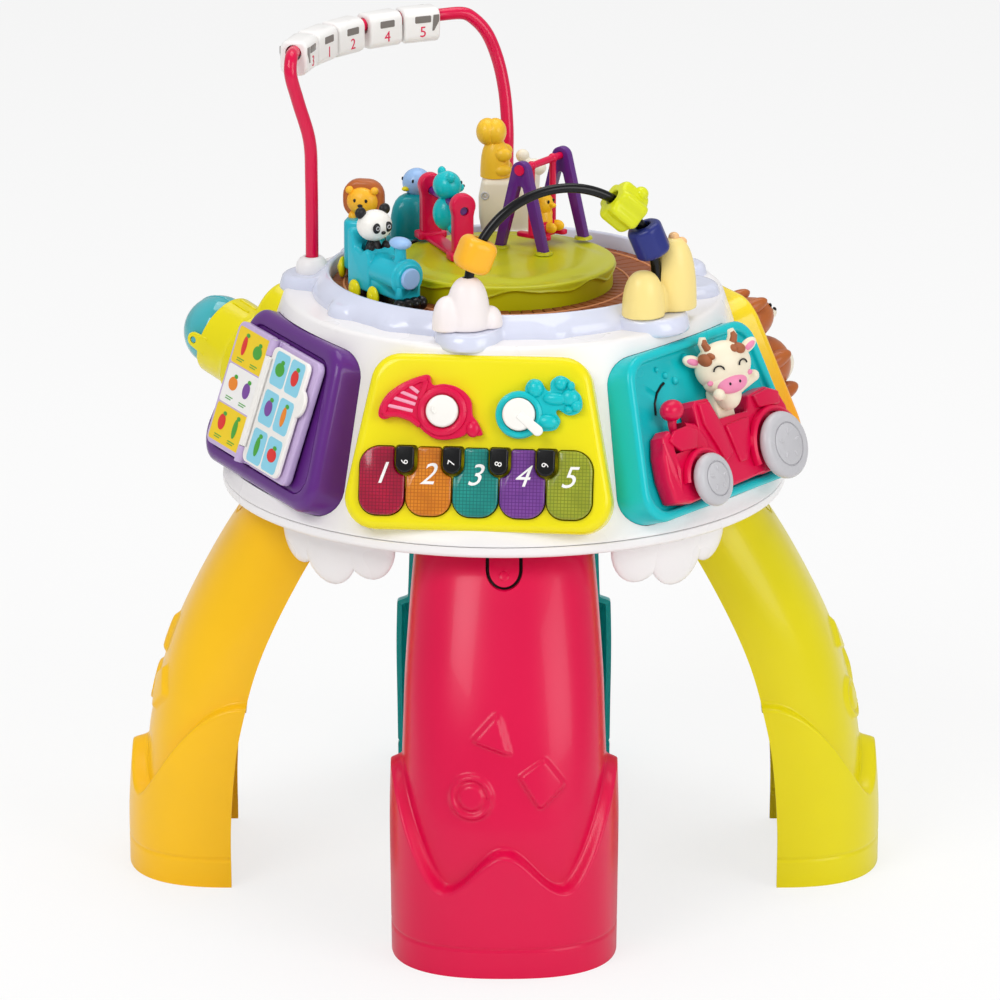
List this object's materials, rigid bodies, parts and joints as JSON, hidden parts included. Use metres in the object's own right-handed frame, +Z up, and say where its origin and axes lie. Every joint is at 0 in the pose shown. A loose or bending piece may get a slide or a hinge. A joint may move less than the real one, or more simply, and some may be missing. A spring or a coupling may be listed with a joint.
{
  "type": "musical activity table",
  "caption": "Round toddler activity table on arched legs: piano keys, tractor, book and ball panels, bead arch, bead wire and a turning toy train.",
  "frame": {"origin": "on the floor, under the middle of the table", "axes": "+Z up; the front, with the crimson leg, is -Y and the lime leg is +X"},
  "size_m": [0.465, 0.465, 0.5167],
  "materials": {
    "white_shell": "glossy moulded ABS",
    "white_trim": "satin moulded ABS",
    "crimson": "glossy moulded ABS",
    "arch_crimson": "glossy moulded tube",
    "lime": "glossy moulded ABS",
    "lime_panel": "glossy moulded ABS",
    "dark_teal": "glossy moulded ABS",
    "orange": "glossy moulded ABS",
    "teal": "glossy moulded ABS",
    "purple": "glossy moulded ABS",
    "lavender_grey": "high gloss moulded ABS",
    "brown_floor": "satin moulded plastic",
    "cream": "satin moulded ABS",
    "pale_yellow": "satin moulded plastic",
    "black": "glossy moulded plastic",
    "navy": "satin moulded plastic",
    "lilac": "satin moulded plastic",
    "grey": "satin moulded plastic",
    "key_crimson": "translucent",
    "key_orange": "translucent",
    "key_teal": "translucent",
    "key_purple": "translucent",
    "key_lime": "translucent",
    "board_green": "solder mask"
  },
  "bodies": {
    "base": {"upper_housing": "white_shell", "lower_housing": "white_shell", "battery_door": "white_shell", "cloud_post": "white_trim", "leg_front": "crimson", "tumbler_bracket": "crimson", "horn_relief": "crimson", "tractor_body": "crimson", "back_panel": "crimson", "arch_tube": "arch_crimson", "leg_right": "lime", "island": "lime", "piano_panel": "lime_panel", "ball_panel": "lime_panel", "leg_back": "dark_teal", "leg_left": "orange", "figure_panel": "orange", "animal_relief": "teal", "tractor_panel": "teal", "swing_frame_near": "purple", "swing_frame_far": "purple", "book_panel": "purple", "deck_ring": "lavender_grey", "hill_post": "pale_yellow", "bead_wire": "black", "black_keys": "black", "book_base": "lilac", "circuit_board": "board_green"},
    "turntable": {"track_ring": "brown_floor", "locomotive": "teal", "panda": "white_trim", "lion_wagon": "teal", "lion": "orange", "bird_wagon": "dark_teal", "cream_wagon": "cream", "squirrel": "orange"},
    "tumbling_bear": {"tumbling_bear": "teal"},
    "swing": {"swing_seat": "crimson", "swing_chick": "orange"},
    "orange_bead": {"orange_bead": "orange"},
    "lime_bead": {"lime_bead": "lime"},
    "navy_bead": {"navy_bead": "navy"},
    "cow": {"cow": "cream"},
    "chimney_lever": {"chimney_lever": "crimson"},
    "small_wheel": {"small_wheel": "grey"},
    "large_wheel": {"large_wheel": "grey"},
    "horn_button": {"horn_button": "white_trim"},
    "dial_switch": {"dial_switch": "white_trim"},
    "book_page": {"book_page": "white_trim"},
    "roller_ball": {"roller_ball": "teal"},
    "train_bead_1": {"train_bead_1": "white_trim"},
    "piano_key_1": {"piano_key_1": "key_crimson"},
    "train_bead_2": {"train_bead_2": "white_trim"},
    "piano_key_2": {"piano_key_2": "key_orange"},
    "train_bead_3": {"train_bead_3": "white_trim"},
    "piano_key_3": {"piano_key_3": "key_teal"},
    "train_bead_4": {"train_bead_4": "white_trim"},
    "piano_key_4": {"piano_key_4": "key_purple"},
    "train_bead_5": {"train_bead_5": "white_trim"},
    "piano_key_5": {"piano_key_5": "key_lime"}
  },
  "joints": [
    {"name": "turntable_spin", "type": "hinge", "parent": "base", "child": "turntable", "pos_m": [0, 0, 0.3703], "axis": [0, 0, 1], "continuous": true},
    {"name": "bear_tumble", "type": "hinge", "parent": "base", "child": "tumbling_bear", "pos_m": [-0.0355, 0.0165, 0.4185], "axis": [-0.3567, 0.9342, 0], "continuous": true},
    {"name": "swing_rock", "type": "hinge", "parent": "base", "child": "swing", "pos_m": [0.0235, 0.031, 0.4388], "axis": [0.549, 0.8358, 0], "range_deg": [-35, 35]},
    {"name": "orange_bead_slide", "type": "hinge", "parent": "base", "child": "orange_bead", "pos_m": [0.035, -0.0985, 0.395], "axis": [0.319, -0.9478, 0], "range_deg": [-45, 0]},
    {"name": "lime_bead_slide", "type": "hinge", "parent": "base", "child": "lime_bead", "pos_m": [0.035, -0.0985, 0.395], "axis": [0.319, -0.9478, 0], "range_deg": [0, 40]},
    {"name": "navy_bead_slide", "type": "hinge", "parent": "base", "child": "navy_bead", "pos_m": [0.035, -0.0985, 0.395], "axis": [0.319, -0.9478, 0], "range_deg": [0, 2]},
    {"name": "train_bead_1_slide", "type": "hinge", "parent": "base", "child": "train_bead_1", "pos_m": [0, 0, 0.51], "axis": [0, 0, 1], "range_deg": [-0.4, 0.3]},
    {"name": "train_bead_2_slide", "type": "hinge", "parent": "train_bead_1", "child": "train_bead_2", "pos_m": [0, 0, 0.51], "axis": [0, 0, 1], "range_deg": [-0.4, 0.3]},
    {"name": "train_bead_3_slide", "type": "hinge", "parent": "train_bead_2", "child": "train_bead_3", "pos_m": [0, 0, 0.51], "axis": [0, 0, 1], "range_deg": [-0.4, 0.3]},
    {"name": "train_bead_4_slide", "type": "hinge", "parent": "train_bead_3", "child": "train_bead_4", "pos_m": [0, 0, 0.51], "axis": [0, 0, 1], "range_deg": [-0.4, 1.8]},
    {"name": "train_bead_5_slide", "type": "hinge", "parent": "train_bead_4", "child": "train_bead_5", "pos_m": [0, 0, 0.51], "axis": [0, 0, 1], "range_deg": [-0.4, 0.3]},
    {"name": "piano_key_1_press", "type": "hinge", "parent": "base", "child": "piano_key_1", "pos_m": [-0.07217, -0.14854, 0.30804], "axis": [0.9954, -0.0958, 0], "range_deg": [0, 4.5], "stiffness_Nm_per_rad": 0.1, "springref_deg": -5.73},
    {"name": "piano_key_2_press", "type": "hinge", "parent": "base", "child": "piano_key_2", "pos_m": [-0.0441, -0.15124, 0.30804], "axis": [0.9954, -0.0958, 0], "range_deg": [0, 4.5], "stiffness_Nm_per_rad": 0.1, "springref_deg": -5.73},
    {"name": "piano_key_3_press", "type": "hinge", "parent": "base", "child": "piano_key_3", "pos_m": [-0.01603, -0.15394, 0.30804], "axis": [0.9954, -0.0958, 0], "range_deg": [0, 4.5], "stiffness_Nm_per_rad": 0.1, "springref_deg": -5.73},
    {"name": "piano_key_4_press", "type": "hinge", "parent": "base", "child": "piano_key_4", "pos_m": [0.01204, -0.15665, 0.30804], "axis": [0.9954, -0.0958, 0], "range_deg": [0, 4.5], "stiffness_Nm_per_rad": 0.1, "springref_deg": -5.73},
    {"name": "piano_key_5_press", "type": "hinge", "parent": "base", "child": "piano_key_5", "pos_m": [0.04011, -0.15935, 0.30804], "axis": [0.9954, -0.0958, 0], "range_deg": [0, 4.5], "stiffness_Nm_per_rad": 0.1, "springref_deg": -5.73},
    {"name": "horn_button_press", "type": "slide", "parent": "base", "child": "horn_button", "axis": [0.0907, 0.9423, -0.3223], "range_m": [0, 0.003], "stiffness_N_per_m": 300, "springref_m": -0.001},
    {"name": "dial_turn", "type": "hinge", "parent": "base", "child": "dial_switch", "pos_m": [0.00851, -0.16095, 0.33169], "axis": [-0.0907, -0.9423, 0.3223], "range_deg": [-40, 40]},
    {"name": "cow_rock", "type": "hinge", "parent": "base", "child": "cow", "pos_m": [0.13431, -0.08604, 0.30512], "axis": [0.751, -0.5763, 0.3223], "range_deg": [-8, 8], "stiffness_Nm_per_rad": 0.03},
    {"name": "chimney_lever_tilt", "type": "hinge", "parent": "base", "child": "chimney_lever", "pos_m": [0.10378, -0.13257, 0.30546], "axis": [0.751, -0.5763, 0.3223], "range_deg": [-12, 12]},
    {"name": "small_wheel_spin", "type": "hinge", "parent": "base", "child": "small_wheel", "pos_m": [0.1255, -0.13411, 0.28313], "axis": [0.751, -0.5763, 0.3223], "continuous": true},
    {"name": "large_wheel_spin", "type": "hinge", "parent": "base", "child": "large_wheel", "pos_m": [0.17001, -0.07373, 0.28739], "axis": [0.751, -0.5763, 0.3223], "continuous": true},
    {"name": "book_page_turn", "type": "hinge", "parent": "base", "child": "book_page", "pos_m": [-0.15055, -0.06675, 0.31338], "axis": [-0.2897, -0.1413, -0.9466], "range_deg": [0, 175]},
    {"name": "roller_ball_spin", "type": "hinge", "parent": "base", "child": "roller_ball", "pos_m": [-0.17785, 0.07043, 0.31982], "axis": [-0.6157, -0.788, 0], "continuous": true}
  ]
}
